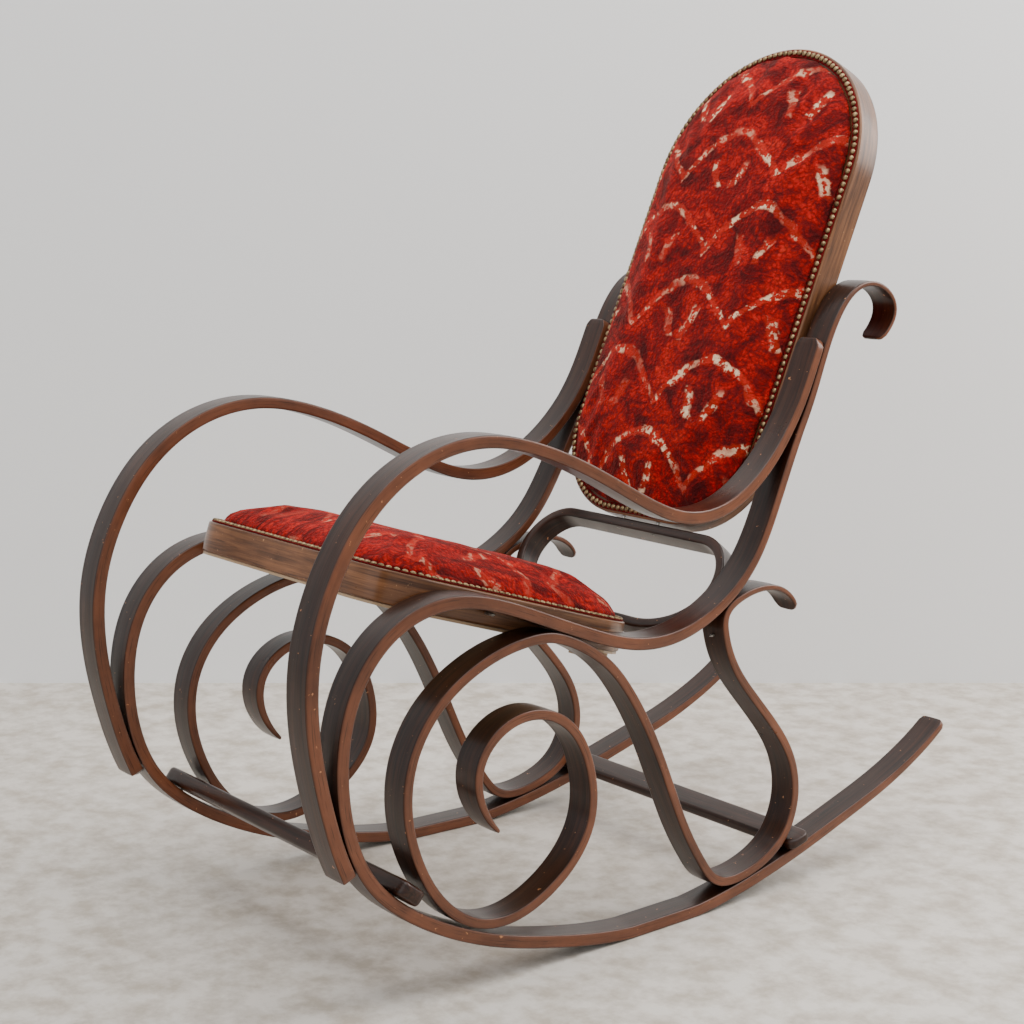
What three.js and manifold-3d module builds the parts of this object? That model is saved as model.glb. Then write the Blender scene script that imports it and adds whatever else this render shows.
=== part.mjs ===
// Bentwood rocking chair with an upholstered seat and back.
// Millimetres, +Z up. The chair faces -Y, and its origin is on the floor, midway across and along.
import * as THREE from 'three';
import { NURBSCurve } from 'three/addons/curves/NURBSCurve.js';
import { mergeVertices } from 'three/addons/utils/BufferGeometryUtils.js';
import Module from 'manifold-3d';

const wasm = await Module();
wasm.setup();

// ---- Driving dimensions ----
const FRAME_SPACING = 425; // between the middles of the two side frames, at the chair's middle
const FRAME_TAPER = 0.0316; // how much each side frame comes inwards per millimetre towards the rear
const POST_LEAN = 0.05; // how much the back posts come inwards per millimetre of height
const POST_LEAN_FROM = 330; // heights between which they do so
const POST_LEAN_TO = 560;
const POST_LEAN_START = -120; // the lean fades in between these places along the chair
const POST_LEAN_FULL = 160;
const LATH_WIDTH = 37; // across each bent lath, from its inner to its outer side
const RAIL_THICKNESS = 15; // the long rail that is runner, seat rail and back post in one
const ARM_THICKNESS = 16;
const SCROLL_THICKNESS = 12;
const LATH_EDGE = 1.6; // worn-down corner along a lath
const RAIL_ENDS = [9, 9]; // rounding of each lath's two ends, seen from its wide face
const ARM_ENDS = [5, 12];
const SCROLL_ENDS = [6, 13];
const JOINT_GAP = 0.3; // between two pieces that touch
const FACET_ROOM = 0.25; // extra room that flat facets need beside a curved neighbour

const STRETCHER_WIDTH = 34;
const STRETCHER_THICKNESS = 19;
const REAR_STRETCHER_THICKNESS = 14;
const STRETCHER_EDGE = 4.5;
const STRETCHER_DOME = [0, 1.5, 5, 11]; // distances from an end where its dome has a section
const STRETCHER_DOME_END = 0.45; // size of the last section, as a share of the full one
const STRETCHER_SAG = 1.4; // how far the hollow of a rail's face lets the flat stretcher stand off
const STRETCHER_OVERHANG = 9; // past the outer side of each side frame
const FRONT_STRETCHER_AT = 0.402; // place along the rail, from the tail
const REAR_STRETCHER_AT = 0.1305;

const SEAT_FRONT_Y = -376;
const SEAT_FRONT_TOP = 461;
const SEAT_SLOPE = THREE.MathUtils.degToRad(17.5); // down towards the rear
const SEAT_LENGTH = 446; // along the slope
const SEAT_WALL_HEIGHT = 35;
const SEAT_CORNER = 62;
const SEAT_REAR_ROUND = 170; // length of the rounded rear end
const SEAT_CROWN = 43;

const BACK_LEAN = THREE.MathUtils.degToRad(24.2); // from upright
const BACK_FOOT_Y = 172; // rear face at the bottom of the hoop
const BACK_FOOT_Z = 417;
const BACK_HEIGHT = 639; // along the lean
const BACK_DEPTH = 35;
const BACK_FOOT_ROUND = 120;
const BACK_CROWN = 38;
const BACK_FIXING = 336; // height on the hoop where its width is set by the posts

const HOOP_WALL = 20; // thickness of the seat and back hoops
const CUSHION_INSET = 12; // from the hoop's outer face to the cushion's edge
const CUSHION_EDGE = 7; // height of the cushion at its edge
const SEAT_PAD_MIDDLE = 0.48; // highest place of each cushion, as a share of its length
const BACK_PAD_MIDDLE = 0.5;
const PAD_FULLNESS = 6; // the higher, the flatter the top and the steeper the sides
const TRIM_INSET = 4; // from the hoop's outer face to the nail strip
const TRIM_WIDTH = 7;
const TRIM_HEIGHT = 2.4;
const BOARD_THICKNESS = 5;
const BOARD_DEPTH = 9; // from the hoop's front face to the board that carries the padding
const PANEL_THICKNESS = 3; // sheet that closes the seat's underside and the rear of the back
const PANEL_INSET = 2;

const LUMBAR_TOP_Y = 143; // upper front edge of the loop between the posts
const LUMBAR_TOP_Z = 427.5;
const LUMBAR_LEAN = THREE.MathUtils.degToRad(38.7);
const LUMBAR_HEIGHT = 138;
const LUMBAR_WALL = 13;
const LUMBAR_DEPTH = 30;
const LUMBAR_TOP_ROUND = 62;
const LUMBAR_FOOT_ROUND = 104;

const BLOCK_SIZE = [22, 40, 10]; // glue block under the seat: across, along, height
const BLOCK_AT = [138, 352]; // from the chair's middle, and along the seat from its front

const SCREW_HEAD = 4.6; // radii of the wood screws
const SCREW_SHANK = 2.1;
const SCREW_HEAD_DEPTH = 2.8;
const SCREW_TIP = 4;
const SCREW_ROOM = 0.3; // between a screw and its hole
const HOLE_MOUTH = 3; // how far a hole's cutter stands out of the wood
const SCREW_SINK = 0.6; // of a head below the wood's face
const HOOP_SCREW_LENGTH = 36;
const SEAT_SCREWS = [['front', 140], ['rear', 245]]; // distance along the seat from its front
const SEAT_SCREW_DEPTH = 21; // below the seat hoop's top
const BACK_SCREWS = [['lower', 175], ['upper', 285]]; // height on the back hoop
const BACK_SCREW_DEPTH = 20; // behind the back hoop's front face
const LUMBAR_SCREW_X = 32;
const LUMBAR_SCREW_DEPTH = 9;

// ---- Materials ----
const wood = new THREE.MeshStandardMaterial({ color: 0x5a3a26, roughness: 0.38, metalness: 0 });
const hoopWood = new THREE.MeshStandardMaterial({ color: 0x74492b, roughness: 0.36, metalness: 0 });
const boardWood = new THREE.MeshStandardMaterial({ color: 0xc9a878, roughness: 0.75, metalness: 0 });
const velvet = new THREE.MeshStandardMaterial({ color: 0xa31412, roughness: 0.95, metalness: 0 });
const bronze = new THREE.MeshStandardMaterial({ color: 0x6b5738, roughness: 0.4, metalness: 0.9 });
const steel = new THREE.MeshStandardMaterial({ color: 0x8a8680, roughness: 0.4, metalness: 0.9 });

const chair = new THREE.Group();

function addMesh(name, geometry, material) {
  const mesh = new THREE.Mesh(geometry, material);
  mesh.name = name;
  chair.add(mesh);
}

// ---- Solids: only joining and cutting is done by manifold ----
function toSolid(geometry) {
  const bare = geometry.clone();
  bare.deleteAttribute('normal');
  bare.deleteAttribute('uv');
  const merged = mergeVertices(bare, 1e-4);
  return new wasm.Manifold(new wasm.Mesh({
    numProp: 3,
    vertProperties: new Float32Array(merged.attributes.position.array),
    triVerts: new Uint32Array(merged.index.array),
  }));
}

function toGeometry(solid) {
  const mesh = solid.getMesh();
  const geometry = new THREE.BufferGeometry();
  geometry.setAttribute('position', new THREE.BufferAttribute(mesh.vertProperties, 3));
  geometry.setIndex(new THREE.BufferAttribute(mesh.triVerts, 1));
  return geometry;
}

function cutAway(geometry, cutters) {
  let solid = toSolid(geometry);
  for (const cutter of cutters) {
    solid = solid.subtract(toSolid(cutter));
  }
  return toGeometry(solid);
}

// ---- Bent laths ----
// Half the distance between the middles of the side frames, at a place along the chair and up it.
function halfSpacing(y, z) {
  const lean = POST_LEAN * (THREE.MathUtils.clamp(z, POST_LEAN_FROM, POST_LEAN_TO) - POST_LEAN_FROM);
  const fade = THREE.MathUtils.smoothstep(y, POST_LEAN_START, POST_LEAN_FULL);
  return FRAME_SPACING / 2 - FRAME_TAPER * y - lean * fade;
}

const innerFace = (y, z) => halfSpacing(y, z) - LATH_WIDTH / 2;
const outerFace = (y, z) => halfSpacing(y, z) + LATH_WIDTH / 2;

// A lath's centre line lies in its side frame. Each row is [y, z, share of the full thickness].
function makeLath(rows, thickness) {
  const poles = rows.map((row) => new THREE.Vector4(row[0], row[1], row[2], 1));
  const spans = poles.length - 3;
  const knots = [0, 0, 0];
  for (let i = 0; i <= spans; i += 1) {
    knots.push(i / spans);
  }
  knots.push(1, 1, 1);
  const curve = new NURBSCurve(3, knots, poles);
  const at = (t) => {
    const point = curve.getPoint(t);
    const ahead = curve.getPoint(Math.min(t + 1e-4, 1));
    const behind = curve.getPoint(Math.max(t - 1e-4, 0));
    const run = new THREE.Vector2(ahead.x - behind.x, ahead.y - behind.y).normalize();
    return {
      y: point.x,
      z: point.y,
      half: point.z * thickness / 2,
      run,
      left: new THREE.Vector2(-run.y, run.x),
    };
  };
  return { at, thickness };
}

// A row that leans on a face of another lath: side 1 is its left face, -1 its right face.
// The stand-off is what the row keeps beyond touching, and the lath's own curve takes it up.
function leanOn(host, t, side, thickness, share, standOff) {
  const spot = host.at(t);
  const reach = side * (spot.half + thickness * share / 2 + JOINT_GAP + FACET_ROOM + standOff);
  return [spot.y + spot.left.x * reach, spot.z + spot.left.y * reach, share];
}

const RAIL_ROWS = [
  // tail of the runner
  [490, 153, 0.6], [472, 139, 0.67], [429, 115, 0.73], [367, 89, 0.87], [299, 68, 0.93],
  // runner
  [232, 47, 1], [165, 29, 1], [96, 14, 1], [26, 4.8, 1], [-44, 5.2, 1], [-114, 12, 1],
  [-183, 27, 1], [-251, 44, 1], [-315, 69, 1], [-378, 104, 1],
  // front curve
  [-431, 150, 1], [-456, 215, 1], [-461, 287, 1], [-444, 357, 1], [-397, 410, 1],
  // seat rail
  [-329, 431, 1], [-259, 416, 1], [-194, 389, 1], [-130, 363, 1], [-63, 339, 1], [7, 338, 1],
  // back post
  [76, 364, 0.87], [133, 408, 0.8], [167, 471, 0.8], [198, 535, 0.8], [232, 594, 0.73],
  [256, 666, 0.67],
  // hook
  [299, 729, 0.47], [364, 727, 0.4], [391, 685, 0.4], [353, 657, 0.33],
];
const rail = makeLath(RAIL_ROWS, RAIL_THICKNESS);

const armOnRail = (t, share, standOff) => leanOn(rail, t, 1, ARM_THICKNESS, share, standOff);
const ARM_ROWS = [
  // foot, against the front curve
  armOnRail(0.432, 1.05, 0.6), armOnRail(0.444, 1, 1.8), armOnRail(0.463, 1, 5),
  // front curve and armrest
  [-494, 311, 1], [-494, 391, 1], [-468, 466, 1], [-424, 532, 1], [-358, 577, 0.94],
  [-279, 592, 0.88], [-202, 574, 0.88], [-129, 543, 0.88], [-59, 504, 0.88], [16, 468, 1],
  [96, 475, 0.94], [166, 523, 0.8],
  // head, against the post
  armOnRail(0.872, 0.8, -1.4), armOnRail(0.891, 0.8, 0.2), armOnRail(0.906, 0.8, 0),
];
const arm = makeLath(ARM_ROWS, ARM_THICKNESS);

const scrollOnRail = (t, share, off) => leanOn(rail, t, -1, SCROLL_THICKNESS, share, off);
const SCROLL_ROWS = [
  // inner curl
  [-257, 168, 0.33], [-268, 177, 0.6], [-289, 207, 0.9], [-287, 257, 1], [-242, 291, 1],
  [-186, 289, 1], [-144, 256, 1], [-124, 202, 1], [-124, 149, 1], [-156, 105, 1],
  // foot of the large loop, on the runner
  [-207, 75, 1], [-256, 65, 1], scrollOnRail(0.361, 1, -2.6),
  // large loop
  [-345, 116, 1], [-370, 165, 1], [-382, 217, 1], [-375, 269, 1], [-347, 314, 1],
  [-305, 345, 1], [-256, 365, 1],
  // head of the large loop, under the seat rail
  [-204, 372, 1], scrollOnRail(0.65, 1, -3), [-108, 334, 1],
  // down to the rear loop
  [-73, 293, 1], [-45, 249, 1], [-22, 202, 1], [-2, 155, 1], [19, 107, 1], [47, 62, 1],
  // foot of the rear loop, on the runner
  scrollOnRail(0.19, 1, -1.8), [151, 38, 1],
  // rear loop
  [193, 66, 1], [210, 117, 1], [196, 169, 1], [163, 211, 1], [129, 248, 1], [92, 290, 0.92],
  // neck, behind the post, and curled end
  [74, 343, 0.85], scrollOnRail(0.762, 0.75, -6.8), [164, 386, 0.6], [198, 359, 0.5],
  [202, 342, 0.42],
];
const scroll = makeLath(SCROLL_ROWS, SCROLL_THICKNESS);
const LATHS = { side_rail: rail, arm, scroll };

const STEP_TURN = THREE.MathUtils.degToRad(12);
const STEP_LENGTH = 42;
const END_STEPS = [0, 0.12, 0.45, 1]; // shares of an end's rounding where a section stands

// Places along a lath where a section stands: closer together where it bends harder.
function lathSections(lath, startRound, endRound) {
  const fine = 1200;
  const walk = [];
  let length = 0;
  for (let i = 0; i <= fine; i += 1) {
    const spot = lath.at(i / fine);
    if (i > 0) {
      const last = walk[i - 1];
      length += Math.hypot(spot.y - last.y, spot.z - last.z);
    }
    walk.push({ ...spot, length });
  }
  const kept = [];
  const nearest = (target) => walk.reduce(
    (best, spot) => (Math.abs(spot.length - target) < Math.abs(best.length - target) ? spot : best));
  END_STEPS.forEach((share) => kept.push(nearest(share * startRound)));
  for (let i = 1; i <= fine; i += 1) {
    const spot = walk[i];
    const last = kept[kept.length - 1];
    const turn = Math.acos(Math.min(1, spot.run.dot(last.run)));
    const step = spot.length - last.length;
    const clear = spot.length > startRound + 1 && spot.length < length - endRound - 4;
    if (clear && (turn >= STEP_TURN || step >= STEP_LENGTH)) {
      kept.push(spot);
    }
  }
  END_STEPS.slice().reverse().forEach((share) => kept.push(nearest(length - share * endRound)));
  return kept.map((spot) => {
    const fromEnd = Math.min(
      startRound > 0 ? spot.length / startRound : 1,
      endRound > 0 ? (length - spot.length) / endRound : 1);
    const round = fromEnd < 1 ? Math.sqrt(1 - (1 - Math.max(fromEnd, 0)) ** 2) : 1;
    const radius = spot.length < length / 2 ? startRound : endRound;
    return { ...spot, width: LATH_WIDTH - 2 * radius * (1 - round) };
  });
}

// A rectangle of half width w and half height h with its corners cut off.
function cutCornerShape(w, h, cut) {
  return new THREE.Shape([
    new THREE.Vector2(-w + cut, -h), new THREE.Vector2(w - cut, -h),
    new THREE.Vector2(w, -h + cut), new THREE.Vector2(w, h - cut),
    new THREE.Vector2(w - cut, h), new THREE.Vector2(-w + cut, h),
    new THREE.Vector2(-w, h - cut), new THREE.Vector2(-w, -h + cut),
  ]);
}

// A straight lath is extruded and then bent, each of its sections onto its place on the line.
function bendLath(lath, side, [startRound, endRound]) {
  const sections = lathSections(lath, startRound, endRound);
  const w = LATH_WIDTH / 2;
  const h = lath.thickness / 2;
  const outline = cutCornerShape(w, h, LATH_EDGE);
  const steps = sections.length - 1;
  const straight = new THREE.ExtrudeGeometry(outline, { depth: 1, steps, bevelEnabled: false });
  const points = straight.attributes.position;
  for (let i = 0; i < points.count; i += 1) {
    const section = sections[Math.round(points.getZ(i) * steps)];
    const across = points.getX(i) * section.width / LATH_WIDTH;
    const out = Math.sign(points.getY(i)) * (Math.abs(points.getY(i)) - h + section.half);
    // Underneath, the runners are worn level where they rest on the floor.
    points.setXYZ(i, side * halfSpacing(section.y, section.z) + across,
      section.y - section.left.x * out, Math.max(0, section.z - section.left.y * out));
  }
  return straight;
}

// ---- Screws ----
// A countersunk wood screw from the point where its head is flush, along a direction.
function screwShape(from, direction, length, room) {
  const headTop = room > 0 ? HOLE_MOUTH : 0;
  const head = SCREW_HEAD + room;
  const shank = SCREW_SHANK + room;
  const profile = [
    new THREE.Vector2(0, -length - room), new THREE.Vector2(shank, -length + SCREW_TIP - room),
    new THREE.Vector2(shank, -SCREW_HEAD_DEPTH - room), new THREE.Vector2(head, -room),
    new THREE.Vector2(head, headTop), new THREE.Vector2(0, headTop),
  ];
  if (room === 0) {
    profile.splice(4, 1);
    profile[4] = new THREE.Vector2(0, 0);
  }
  const geometry = new THREE.LatheGeometry(profile, 6);
  const down = new THREE.Vector3(0, -1, 0);
  geometry.applyQuaternion(new THREE.Quaternion().setFromUnitVectors(down, direction));
  geometry.translate(from.x, from.y, from.z);
  return geometry;
}

const screws = [];

// Registers a screw and says which pieces it passes through.
function driveScrew(name, from, direction, length, pieces) {
  screws.push({ name, from, direction, length, pieces });
}

const holesOf = (piece) => screws.filter((screw) => screw.pieces.includes(piece))
  .map((screw) => screwShape(screw.from, screw.direction, screw.length, SCREW_ROOM));

// A screw that enters a lath at place t through one of its wide faces.
function screwThroughLath(name, lath, t, side, face, length, pieces) {
  const spot = lath.at(t);
  const reach = face * (spot.half - SCREW_SINK);
  const from = new THREE.Vector3(side * halfSpacing(spot.y, spot.z),
    spot.y + spot.left.x * reach, spot.z + spot.left.y * reach);
  const direction = new THREE.Vector3(0, -face * spot.left.x, -face * spot.left.y).normalize();
  driveScrew(name, from, direction, length, pieces);
}

// ---- Stretchers across the two side frames, lying on the inner face of the rails ----
function stretcherShape(t, thickness) {
  const spot = rail.at(t);
  const reach = -(spot.half + thickness / 2 + JOINT_GAP + STRETCHER_SAG);
  const y = spot.y + spot.left.x * reach;
  const z = spot.z + spot.left.y * reach;
  const length = 2 * (outerFace(y, z) + STRETCHER_OVERHANG);
  const w = STRETCHER_WIDTH / 2;
  const h = thickness / 2;
  const outline = cutCornerShape(w, h, STRETCHER_EDGE);
  const domeLength = STRETCHER_DOME[STRETCHER_DOME.length - 1];
  const farEnd = STRETCHER_DOME.map((distance) => length - distance).reverse();
  const places = [...STRETCHER_DOME, ...farEnd];
  const steps = places.length - 1;
  const bar = new THREE.ExtrudeGeometry(outline, { depth: 1, steps, bevelEnabled: false });
  const points = bar.attributes.position;
  for (let i = 0; i < points.count; i += 1) {
    const place = places[Math.round(points.getZ(i) * steps)];
    const fromEnd = Math.min(place, length - place) / domeLength;
    const round = fromEnd < 1 ? Math.sqrt(1 - (1 - fromEnd) ** 2) : 1;
    const shrink = STRETCHER_DOME_END + (1 - STRETCHER_DOME_END) * round;
    const along = points.getX(i) * shrink;
    const out = points.getY(i) * shrink;
    points.setXYZ(i, place - length / 2,
      y + spot.run.x * along + spot.left.x * out, z + spot.run.y * along + spot.left.y * out);
  }
  return bar;
}

// ---- Hoops, boards and cushions: drawn flat as (x, along), then laid in a tilted frame ----
// A tilted frame maps x, a distance along and a height above the face to the chair's axes.
function tiltedFrame(originY, originZ, along, up) {
  return new THREE.Matrix4().set(
    1, 0, 0, 0,
    0, along.x, up.x, originY,
    0, along.y, up.y, originZ,
    0, 0, 0, 1);
}

const seatFrame = tiltedFrame(SEAT_FRONT_Y, SEAT_FRONT_TOP,
  new THREE.Vector2(Math.cos(SEAT_SLOPE), -Math.sin(SEAT_SLOPE)),
  new THREE.Vector2(Math.sin(SEAT_SLOPE), Math.cos(SEAT_SLOPE)));
// The back's face is its front, so its frame starts one depth ahead of the rear face.
const backFrame = tiltedFrame(
  BACK_FOOT_Y - BACK_DEPTH * Math.cos(BACK_LEAN), BACK_FOOT_Z + BACK_DEPTH * Math.sin(BACK_LEAN),
  new THREE.Vector2(Math.sin(BACK_LEAN), Math.cos(BACK_LEAN)),
  new THREE.Vector2(-Math.cos(BACK_LEAN), Math.sin(BACK_LEAN)));
const lumbarFrame = tiltedFrame(LUMBAR_TOP_Y, LUMBAR_TOP_Z,
  new THREE.Vector2(Math.sin(LUMBAR_LEAN), Math.cos(LUMBAR_LEAN)),
  new THREE.Vector2(-Math.cos(LUMBAR_LEAN), Math.sin(LUMBAR_LEAN)));

const SIDE_ROOM = JOINT_GAP + FACET_ROOM;

// Half the width that the side rails leave for the seat, at a distance along its slope.
function seatHalf(along) {
  const y = SEAT_FRONT_Y + along * Math.cos(SEAT_SLOPE);
  const z = SEAT_FRONT_TOP - along * Math.sin(SEAT_SLOPE);
  return innerFace(y, z) - SIDE_ROOM;
}

// Seat outline: straight front, rounded corners, sides along the rails, rounded rear.
function seatOutline(inset) {
  const side = (along) => seatHalf(along) - inset;
  const corner = SEAT_CORNER - inset;
  const straightEnd = SEAT_LENGTH - SEAT_REAR_ROUND;
  const shape = new THREE.Shape();
  shape.moveTo(-side(SEAT_CORNER) + corner, inset);
  shape.lineTo(side(SEAT_CORNER) - corner, inset);
  shape.absellipse(side(SEAT_CORNER) - corner, SEAT_CORNER, corner, corner, -Math.PI / 2, 0);
  shape.lineTo(side(straightEnd), straightEnd);
  shape.absellipse(0, straightEnd, side(straightEnd), SEAT_REAR_ROUND - inset, 0, Math.PI);
  shape.lineTo(-side(SEAT_CORNER), SEAT_CORNER);
  shape.absellipse(-side(SEAT_CORNER) + corner, SEAT_CORNER, corner, corner, Math.PI, 1.5 * Math.PI);
  return shape;
}

// The back hoop is as wide as the posts leave at its fixing.
const backHalf = innerFace(
  BACK_FOOT_Y + BACK_FIXING * Math.sin(BACK_LEAN),
  BACK_FOOT_Z + BACK_FIXING * Math.cos(BACK_LEAN)) - SIDE_ROOM;

// Back outline: rounded foot corners, straight sides and a half-round head.
function backOutline(inset) {
  const half = backHalf - inset;
  const foot = BACK_FOOT_ROUND - inset;
  const headAt = BACK_HEIGHT - backHalf;
  const shape = new THREE.Shape();
  shape.moveTo(-half + foot, inset);
  shape.lineTo(half - foot, inset);
  shape.absellipse(half - foot, BACK_FOOT_ROUND, foot, foot, -Math.PI / 2, 0);
  shape.lineTo(half, headAt);
  shape.absellipse(0, headAt, half, half, 0, Math.PI);
  shape.lineTo(-half, BACK_FOOT_ROUND);
  shape.absellipse(-half + foot, BACK_FOOT_ROUND, foot, foot, Math.PI, 1.5 * Math.PI);
  return shape;
}

const lumbarHalf = innerFace(LUMBAR_TOP_Y, LUMBAR_TOP_Z) - SIDE_ROOM;

// Outline of the loop between the posts, drawn downwards from its upper edge.
function lumbarOutline(inset) {
  const half = lumbarHalf - inset;
  const top = LUMBAR_TOP_ROUND - inset;
  const foot = LUMBAR_FOOT_ROUND - inset;
  const low = -LUMBAR_HEIGHT;
  const footEase = (LUMBAR_HEIGHT - LUMBAR_TOP_ROUND) / LUMBAR_FOOT_ROUND;
  const footRise = foot * footEase;
  const shape = new THREE.Shape();
  shape.moveTo(-half + foot, low + inset);
  shape.lineTo(half - foot, low + inset);
  shape.absellipse(half - foot, low + inset + footRise, foot, footRise, -Math.PI / 2, 0);
  shape.lineTo(half, -LUMBAR_TOP_ROUND);
  shape.absellipse(half - top, -LUMBAR_TOP_ROUND, top, top, 0, Math.PI / 2);
  shape.lineTo(-half + top, -inset);
  shape.absellipse(-half + top, -LUMBAR_TOP_ROUND, top, top, Math.PI / 2, Math.PI);
  shape.lineTo(-half, low + inset + footRise);
  shape.absellipse(-half + foot, low + inset + footRise, foot, footRise, Math.PI, 1.5 * Math.PI);
  return shape;
}

const OUTLINE_DIVISIONS = 9; // for each round of a hoop

// A slab of an outline, with or without a hole, from one height to another above the face.
function slab(outline, hole, low, high, frame) {
  const shape = outline.clone();
  if (hole) {
    shape.holes = [new THREE.Path(hole.getPoints(OUTLINE_DIVISIONS).reverse())];
  }
  const geometry = new THREE.ExtrudeGeometry(shape,
    { depth: high - low, steps: 1, bevelEnabled: false, curveSegments: OUTLINE_DIVISIONS });
  geometry.translate(0, 0, low);
  geometry.applyMatrix4(frame);
  return geometry;
}

const PAD_RINGS = [0.98, 0.93, 0.8, 0.55];

// A crowned pad: a lathe turned once round, with each of its rays stretched to the outline.
function crownedPad(outline, middle, crown, low, frame) {
  const rays = 32;
  const rim = outline.getSpacedPoints(rays);
  const rise = (share) => low + CUSHION_EDGE
    + (crown - CUSHION_EDGE) * Math.sqrt(1 - share ** PAD_FULLNESS);
  const profile = [
    new THREE.Vector2(0, low), new THREE.Vector2(1, low), new THREE.Vector2(1, low + CUSHION_EDGE),
    ...PAD_RINGS.map((share) => new THREE.Vector2(share, rise(share))),
    new THREE.Vector2(0, low + crown),
  ];
  const pad = new THREE.LatheGeometry(profile, rays);
  const points = pad.attributes.position;
  for (let i = 0; i < points.count; i += 1) {
    const share = Math.hypot(points.getX(i), points.getZ(i));
    const turn = Math.atan2(points.getX(i), points.getZ(i)) / (2 * Math.PI);
    const ray = rim[(Math.round(turn * rays) + rays) % rays];
    points.setXYZ(i, ray.x * share, middle + (ray.y - middle) * share, points.getY(i));
  }
  pad.applyMatrix4(frame);
  return pad;
}

// ---- Where the screws go ----
const inFrame = (frame, x, along, up) => new THREE.Vector3(x, along, up).applyMatrix4(frame);
const SIDES = [['left', 1], ['right', -1]];

// Each row: name, the lath it enters, place along it, face it enters, length, the other lath.
const LATH_SCREWS = [
  ['arm_head', 'arm', 0.975, 1, 20, 'side_rail'],
  ['arm_foot', 'side_rail', 0.429, -1, 24, 'arm'],
  ['loop_head', 'scroll', 0.513, -1, 22, 'side_rail'],
  ['neck', 'scroll', 0.918, -1, 16, 'side_rail'],
];
const STRETCHER_SCREWS = [
  ['front_stretcher', FRONT_STRETCHER_AT, 26],
  ['rear_stretcher', REAR_STRETCHER_AT, 26],
];
const LUMBAR_SCREW_LENGTH = 26;

function placeFrameScrews(hand, side) {
  const railNode = `${hand}_side_rail`;
  for (const [name, host, t, face, length, other] of LATH_SCREWS) {
    screwThroughLath(`${hand}_${name}_screw`, LATHS[host], t, side, face, length,
      [`${hand}_${host}`, `${hand}_${other}`]);
  }
  for (const [name, t, length] of STRETCHER_SCREWS) {
    screwThroughLath(`${hand}_${name}_screw`, rail, t, side, 1, length, [railNode, name]);
  }
}

function placeHoopScrews(hand, side) {
  const railNode = `${hand}_side_rail`;
  const outwards = new THREE.Vector3(side, 0, 0);
  const inside = HOOP_WALL - SCREW_SINK;
  for (const [place, along] of SEAT_SCREWS) {
    const from = inFrame(seatFrame, side * (seatHalf(along) - inside), along, -SEAT_SCREW_DEPTH);
    driveScrew(`${hand}_seat_${place}_screw`, from, outwards, HOOP_SCREW_LENGTH,
      ['seat_hoop', railNode]);
  }
  for (const [place, along] of BACK_SCREWS) {
    const from = inFrame(backFrame, side * (backHalf - inside), along, -BACK_SCREW_DEPTH);
    driveScrew(`${hand}_back_${place}_screw`, from, outwards, HOOP_SCREW_LENGTH,
      ['back_hoop', railNode]);
  }
  const up = new THREE.Vector3(0, Math.sin(BACK_LEAN), Math.cos(BACK_LEAN));
  const from = inFrame(lumbarFrame, side * LUMBAR_SCREW_X, SCREW_SINK - LUMBAR_WALL,
    -LUMBAR_SCREW_DEPTH);
  driveScrew(`${hand}_lumbar_screw`, from, up, LUMBAR_SCREW_LENGTH, ['lumbar_loop', 'back_hoop']);
}

for (const [hand, side] of SIDES) {
  placeFrameScrews(hand, side);
  placeHoopScrews(hand, side);
}

// ---- Assembly ----
// Adds a piece with the holes that its screws pass through.
function addDrilled(name, geometry, material) {
  addMesh(name, cutAway(geometry, holesOf(name)), material);
}

for (const [hand, side] of SIDES) {
  addDrilled(`${hand}_side_rail`, bendLath(rail, side, RAIL_ENDS), wood);
  addDrilled(`${hand}_arm`, bendLath(arm, side, ARM_ENDS), wood);
  addDrilled(`${hand}_scroll`, bendLath(scroll, side, SCROLL_ENDS), wood);
}
addDrilled('front_stretcher', stretcherShape(FRONT_STRETCHER_AT, STRETCHER_THICKNESS), wood);
addDrilled('rear_stretcher', stretcherShape(REAR_STRETCHER_AT, REAR_STRETCHER_THICKNESS), wood);

addDrilled('seat_hoop',
  slab(seatOutline(0), seatOutline(HOOP_WALL), -SEAT_WALL_HEIGHT, 0, seatFrame), hoopWood);
addMesh('seat_board', slab(seatOutline(HOOP_WALL + JOINT_GAP), null,
  -BOARD_DEPTH - BOARD_THICKNESS, -BOARD_DEPTH, seatFrame), boardWood);
const panelTop = -SEAT_WALL_HEIGHT - JOINT_GAP;
addMesh('seat_bottom_panel',
  slab(seatOutline(PANEL_INSET), null, panelTop - PANEL_THICKNESS, panelTop, seatFrame), boardWood);
addMesh('seat_nail_strip', slab(seatOutline(TRIM_INSET), seatOutline(TRIM_INSET + TRIM_WIDTH),
  JOINT_GAP, JOINT_GAP + TRIM_HEIGHT, seatFrame), bronze);
addMesh('seat_padding', slab(seatOutline(HOOP_WALL + JOINT_GAP), null,
  -BOARD_DEPTH + JOINT_GAP, 0, seatFrame), boardWood);
addMesh('seat_cushion', crownedPad(seatOutline(CUSHION_INSET), SEAT_LENGTH * SEAT_PAD_MIDDLE,
  SEAT_CROWN, JOINT_GAP, seatFrame), velvet);

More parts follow.
